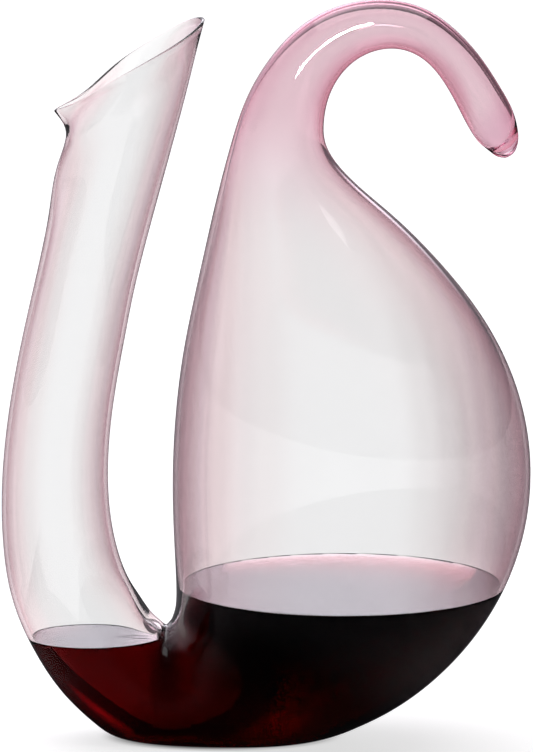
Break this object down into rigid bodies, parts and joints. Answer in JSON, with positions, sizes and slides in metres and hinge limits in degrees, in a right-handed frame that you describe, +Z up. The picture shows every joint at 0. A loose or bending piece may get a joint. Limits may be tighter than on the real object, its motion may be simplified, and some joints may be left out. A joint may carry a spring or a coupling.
{
  "type": "wine decanter",
  "caption": "Free-blown pink-tinted glass decanter: an open curved neck with a pouring lip, a wide bowl and a hooked closed tail, holding red wine.",
  "frame": {"origin": "centre of the overall box in X and Y, on the table under the flat base", "axes": "+Z up, +X from the open neck towards the bowl, +Y away from a viewer who sees the neck on the left"},
  "size_m": [0.2423, 0.1482, 0.3428],
  "materials": {
    "clear_glass": "fire-polished clear glass",
    "pink_glass": "thin layer of rose-coloured glass",
    "bead_glass": "solid clear glass",
    "wine": "dark red liquid"
  },
  "bodies": {
    "root": {"mouth_rim": "clear_glass", "neck_casing": "clear_glass", "neck_pink_layer": "pink_glass", "bowl_casing": "clear_glass", "bowl_pink_layer": "pink_glass", "tail_casing": "clear_glass", "tail_pink_layer": "pink_glass", "tail_tip_bead": "bead_glass", "wine": "wine"}
  },
  "joints": []
}
